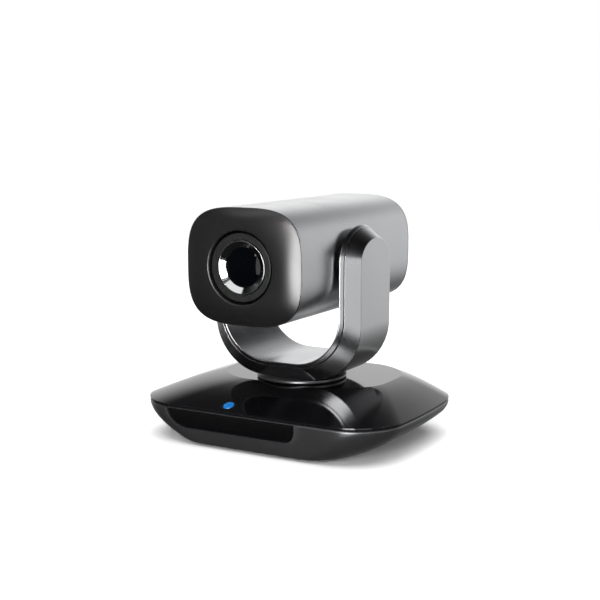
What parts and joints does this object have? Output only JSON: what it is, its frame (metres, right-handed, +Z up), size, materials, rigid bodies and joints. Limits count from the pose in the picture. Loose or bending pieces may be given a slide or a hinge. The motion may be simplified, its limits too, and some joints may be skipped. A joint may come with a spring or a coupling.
{
  "type": "ptz camera",
  "caption": "Pan-tilt-zoom conference camera: a rounded barrel head tilting in a U-shaped yoke that pans on a flat, boat-shaped base.",
  "frame": {"origin": "under the middle of the head's length, at the underside of the feet; the pan axis stands 1.8 mm in front of it", "axes": "+Z up; the lens looks along -Y; +X is to the right seen from the front"},
  "size_m": [0.1548, 0.1324, 0.1293],
  "materials": {
    "cover_gloss": "high gloss",
    "shell_satin": "satin",
    "window_gloss": "high gloss",
    "bezel_satin": "satin",
    "head_satin": "satin metallic",
    "status_light": "translucent blue",
    "rubber": "matte",
    "steel": "brushed",
    "brass": "machined",
    "nylon": "moulded",
    "black_plastic": "fine matte",
    "lens_black": "anodised black",
    "trim_silver": "polished",
    "lens_glass": "coated optical glass",
    "circuit_board": "solder resist",
    "chip": "gloss"
  },
  "bodies": {
    "base": {"base_lower_shell": "shell_satin", "base_top_cover": "cover_gloss", "ir_window": "window_gloss", "ir_receiver_1": "window_gloss", "ir_receiver_2": "window_gloss", "status_light": "status_light", "pan_bearing": "steel", "foot_front_left": "rubber", "foot_front_right": "rubber", "foot_rear_left": "rubber", "foot_rear_right": "rubber", "bottom_screw_front_left": "steel", "bottom_screw_front_right": "steel", "bottom_screw_rear_left": "steel", "bottom_screw_rear_right": "steel", "tripod_insert": "brass", "rear_panel": "black_plastic", "power_jack": "black_plastic", "usb_port": "black_plastic", "serial_in_jack": "black_plastic", "serial_out_jack": "black_plastic", "main_board": "circuit_board", "pan_motor": "steel"},
    "pan_pinion_shaft": {"pan_pinion": "brass"},
    "yoke": {"turntable": "shell_satin", "pan_gear": "nylon", "yoke_shell": "head_satin", "yoke_cover": "head_satin", "yoke_screw_left": "steel", "yoke_screw_right": "steel", "tilt_pivot_left": "steel", "tilt_pivot_right": "steel", "tilt_gear": "nylon"},
    "head": {"barrel_shell": "head_satin", "front_bezel": "bezel_satin", "rear_cover": "head_satin", "tilt_bush_left": "nylon", "tilt_bush_right": "nylon", "tilt_motor": "steel", "head_frame": "steel", "processing_board": "circuit_board", "lens_tube": "lens_black", "lens_trim_ring": "trim_silver", "front_lens": "lens_glass", "lens_chassis": "black_plastic", "guide_rod_1": "steel", "guide_rod_2": "steel", "zoom_motor": "steel", "focus_motor": "steel", "image_sensor": "chip", "sensor_board": "circuit_board"},
    "tilt_pinion_shaft": {"tilt_pinion": "brass"},
    "zoom_group": {"zoom_carriage": "black_plastic", "zoom_lens": "lens_glass"},
    "zoom_screw": {"zoom_lead_screw": "steel"},
    "focus_group": {"focus_carriage": "black_plastic", "focus_lens": "lens_glass"},
    "focus_screw": {"focus_lead_screw": "steel"}
  },
  "joints": [
    {"name": "pan", "type": "hinge", "parent": "base", "child": "yoke", "pos_m": [0, -0.0018, 0.0314], "axis": [0, 0, 1], "range_deg": [-170, 170]},
    {"name": "pan_pinion_spin", "type": "hinge", "parent": "base", "child": "pan_pinion_shaft", "pos_m": [0.0256, -0.0018, 0.015], "axis": [0, 0, 1], "range_deg": [-740, 740]},
    {"name": "tilt", "type": "hinge", "parent": "yoke", "child": "head", "pos_m": [0, -0.0018, 0.099], "axis": [1, 0, 0], "range_deg": [-30, 30]},
    {"name": "tilt_pinion_spin", "type": "hinge", "parent": "head", "child": "tilt_pinion_shaft", "pos_m": [0.02, 0.0238, 0.099], "axis": [1, 0, 0], "range_deg": [-131, 131]},
    {"name": "zoom_slide", "type": "slide", "parent": "head", "child": "zoom_group", "axis": [0, 1, 0], "range_m": [0, 0.018]},
    {"name": "zoom_screw_spin", "type": "hinge", "parent": "head", "child": "zoom_screw", "pos_m": [0.014, -0.0018, 0.113], "axis": [0, 1, 0], "range_deg": [-5, 3245]},
    {"name": "focus_slide", "type": "slide", "parent": "head", "child": "focus_group", "axis": [0, 1, 0], "range_m": [-0.004, 0.006]},
    {"name": "focus_screw_spin", "type": "hinge", "parent": "head", "child": "focus_screw", "pos_m": [-0.014, -0.0018, 0.085], "axis": [0, 1, 0], "range_deg": [-725, 1085]}
  ],
  "couplings": [
    {"joint": "pan_pinion_spin", "follows": "pan", "ratio": -4.3333},
    {"joint": "tilt_pinion_spin", "follows": "tilt", "ratio": 4.3333},
    {"joint": "zoom_screw_spin", "follows": "zoom_slide", "rad_per_m": 3141.6},
    {"joint": "focus_screw_spin", "follows": "focus_slide", "rad_per_m": 3141.6}
  ]
}
